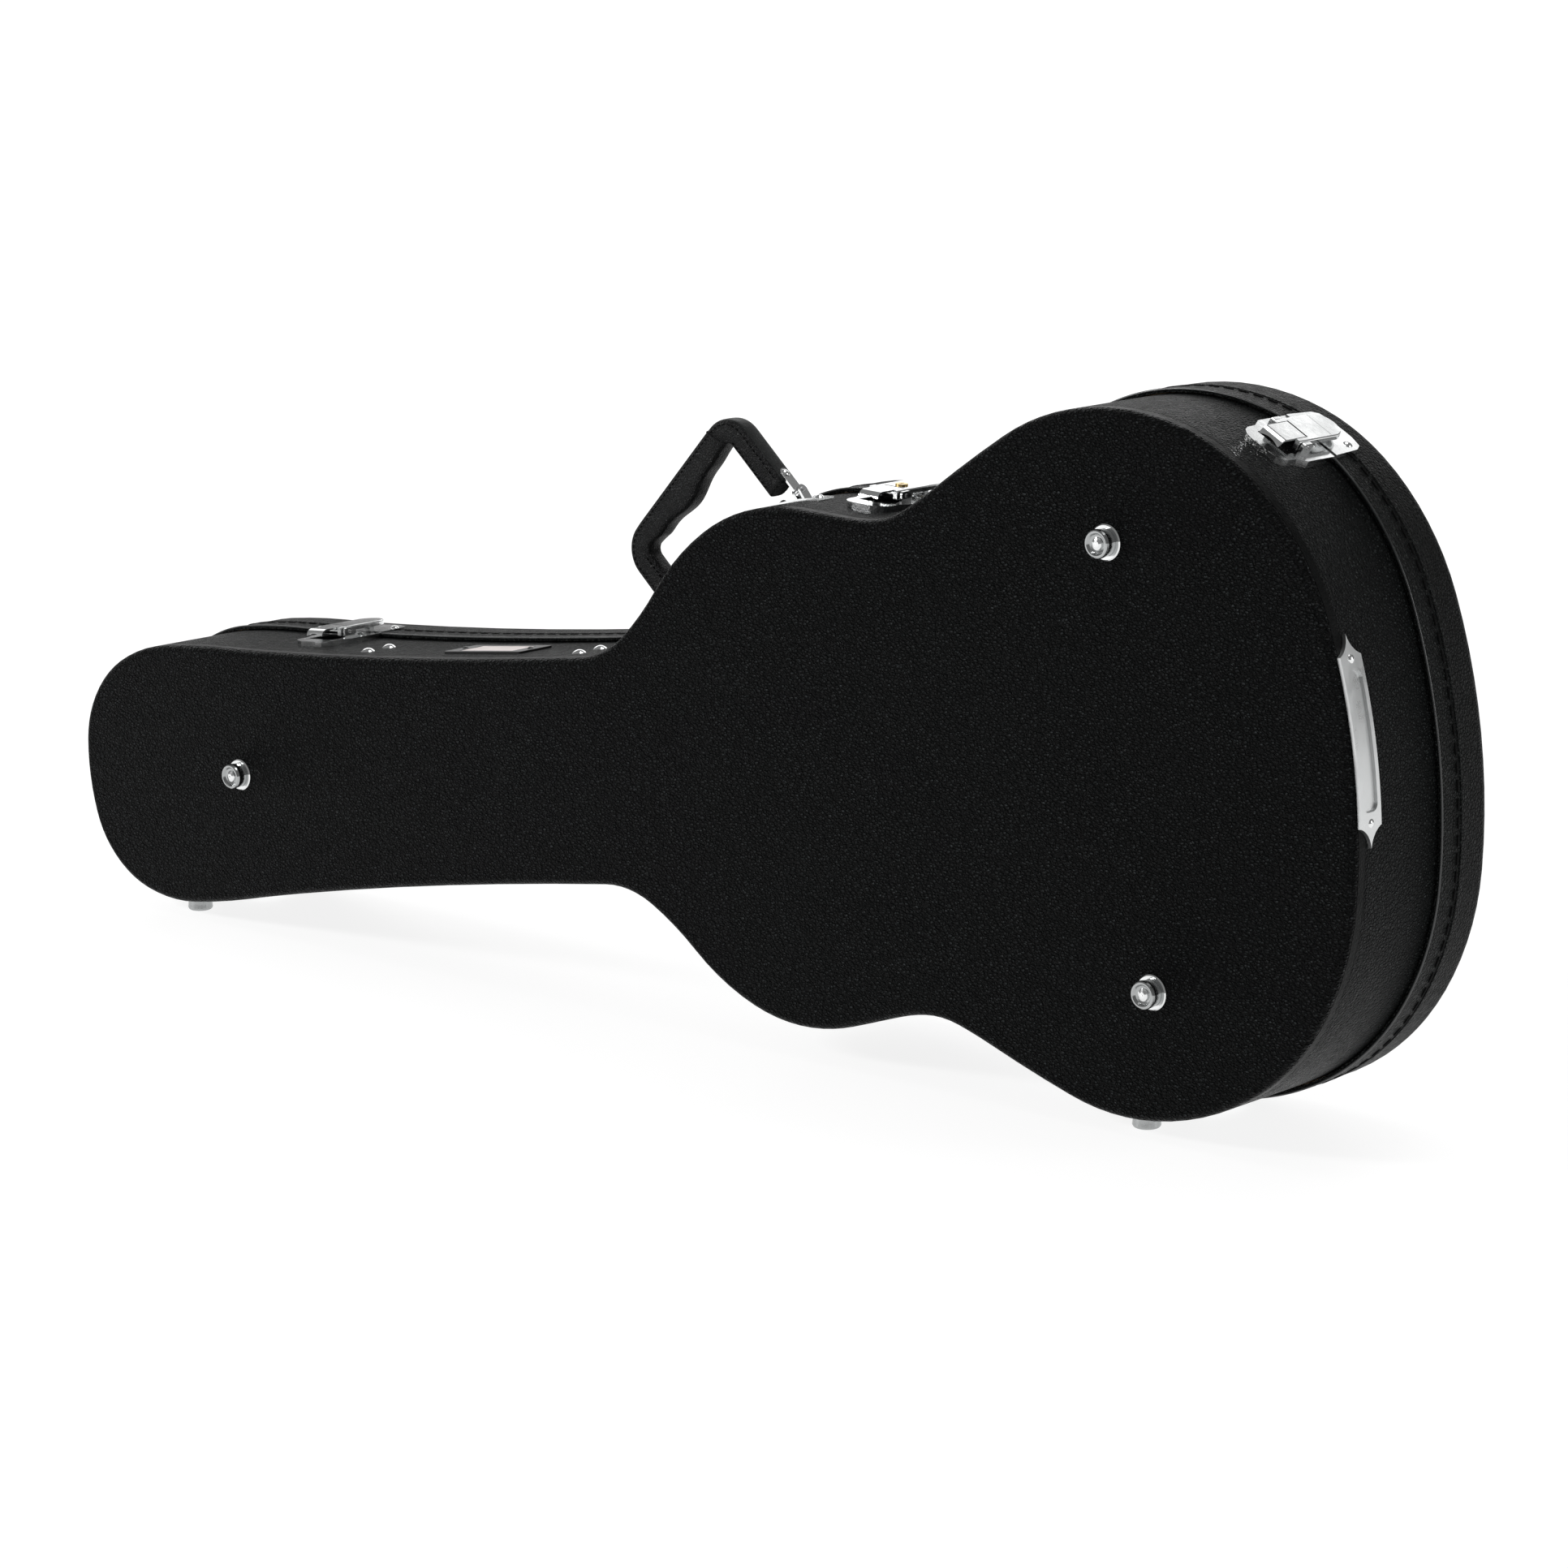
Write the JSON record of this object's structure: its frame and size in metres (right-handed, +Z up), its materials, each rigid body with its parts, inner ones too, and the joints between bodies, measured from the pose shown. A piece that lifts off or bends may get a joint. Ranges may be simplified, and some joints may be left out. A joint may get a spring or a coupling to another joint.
{
  "type": "guitar case",
  "caption": "Shaped hard-shell case for a full-size guitar: hinged lid, latches, carrying handle, padded inside with an accessory box.",
  "frame": {"origin": "centre of the overall box at floor level, under the case standing on its side feet", "axes": "+X level from the head end towards the butt end, +Y from the base face towards the lid, +Z up"},
  "size_m": [1.0605, 0.1396, 0.4189],
  "materials": {
    "plywood": "bare birch plywood",
    "vinyl": "black pebble-grain vinyl",
    "lip": "black vinyl over a metal lip, stitched",
    "plush": "dark plush",
    "leather": "black leather, stitched",
    "brass": "polished",
    "black_plastic": "semi-gloss",
    "plate": "brushed",
    "steel": "plain",
    "chrome": "nickel plated, polished"
  },
  "bodies": {
    "base": {"base_panel": "plywood", "base_side_wall": "plywood", "base_face_cover": "vinyl", "base_wall_cover": "vinyl", "base_floor_pad": "plush", "base_wall_pad": "plush", "neck_cradle": "plush", "box_head_wall": "plywood", "box_body_wall": "plywood", "box_hinge_rod": "steel", "box_hinge_posts": "steel", "foot_flanges": "chrome", "foot_cups": "chrome", "foot_rivets": "chrome", "hinge_head_base_leaf": "chrome", "hinge_bout_base_leaf": "chrome", "hinge_pins": "steel", "latch_head_base": "chrome", "latch_waist_base": "chrome", "latch_bout_base": "chrome", "latch_pins": "steel", "latch_base_rivets": "chrome", "handle_bracket_head": "chrome", "handle_bracket_body": "chrome", "handle_pins": "steel", "bracket_rivets": "chrome", "nameplate_frame": "black_plastic", "nameplate_insert": "plate", "nameplate_rivets": "black_plastic", "butt_plate": "chrome", "butt_plate_rivets": "chrome", "bulkhead_rivets": "chrome"},
    "lid": {"lid_panel": "plywood", "lid_side_wall": "plywood", "lid_cover": "vinyl", "lid_lip": "lip", "lid_pad": "plush", "lid_wall_pad": "plush", "lid_feet": "chrome", "hinge_head_lid_leaf": "chrome", "hinge_bout_lid_leaf": "chrome", "latch_head_keeper": "chrome", "latch_waist_keeper": "chrome", "latch_bout_keeper": "chrome", "latch_keeper_rivets": "chrome"},
    "handle": {"handle_grip": "leather", "handle_strip": "leather", "handle_strap_head": "chrome", "handle_strap_body": "chrome", "handle_rivets": "chrome"},
    "latch_head_lever": {"latch_head_lever": "chrome"},
    "latch_head_hasp": {"latch_head_hasp": "chrome"},
    "latch_waist_lever": {"latch_waist_lever": "chrome"},
    "latch_waist_hasp": {"latch_waist_hasp": "chrome"},
    "latch_bout_lever": {"latch_bout_lever": "chrome"},
    "latch_bout_hasp": {"latch_bout_hasp": "chrome"},
    "lock_cylinder": {"lock_cylinder": "brass"},
    "box_lid": {"box_lid": "plush", "box_pull_tab": "leather"}
  },
  "joints": [
    {"name": "lid_hinge", "type": "hinge", "parent": "base", "child": "lid", "pos_m": [-0.43902, 0.01776, 0.00633], "axis": [-1, 0, 0], "range_deg": [0, 105]},
    {"name": "handle_swing", "type": "hinge", "parent": "base", "child": "handle", "pos_m": [-0.01595, -0.01524, 0.25335], "axis": [0.7791, 0, 0.6269], "range_deg": [-35, 35]},
    {"name": "box_lid_hinge", "type": "hinge", "parent": "base", "child": "box_lid", "pos_m": [-0.25318, -0.00284, 0.07139], "axis": [-0.9898, 0, -0.1422], "range_deg": [0, 84]},
    {"name": "latch_head_hasp_hinge", "type": "hinge", "parent": "base", "child": "latch_head_hasp", "pos_m": [-0.33593, -0.00124, 0.20084], "axis": [0.9973, 0, 0.0739], "range_deg": [0, 55]},
    {"name": "latch_head_lever_hinge", "type": "hinge", "parent": "base", "child": "latch_head_lever", "pos_m": [-0.33593, -0.00124, 0.20084], "axis": [-0.9973, 0, -0.0739], "range_deg": [0, 45]},
    {"name": "latch_waist_hasp_hinge", "type": "hinge", "parent": "base", "child": "latch_waist_hasp", "pos_m": [0.14782, -0.00124, 0.34165], "axis": [0.9989, 0, -0.0467], "range_deg": [0, 55]},
    {"name": "latch_waist_lever_hinge", "type": "hinge", "parent": "base", "child": "latch_waist_lever", "pos_m": [0.14782, -0.00124, 0.34165], "axis": [-0.9989, 0, 0.0467], "range_deg": [0, 45]},
    {"name": "latch_bout_hasp_hinge", "type": "hinge", "parent": "base", "child": "latch_bout_hasp", "pos_m": [0.43815, -0.00124, 0.40268], "axis": [0.8693, 0, -0.4943], "range_deg": [0, 55]},
    {"name": "latch_bout_lever_hinge", "type": "hinge", "parent": "base", "child": "latch_bout_lever", "pos_m": [0.43815, -0.00124, 0.40268], "axis": [-0.8693, 0, 0.4943], "range_deg": [0, 45]},
    {"name": "lock_turn", "type": "hinge", "parent": "latch_waist_hasp", "child": "lock_cylinder", "pos_m": [0.14748, 0.00976, 0.33446], "axis": [0.0467, 0, 0.9989], "range_deg": [0, 90]}
  ],
  "couplings": [
    {"joint": "box_lid_hinge", "follows": "lid_hinge", "ratio": 0.8}
  ]
}
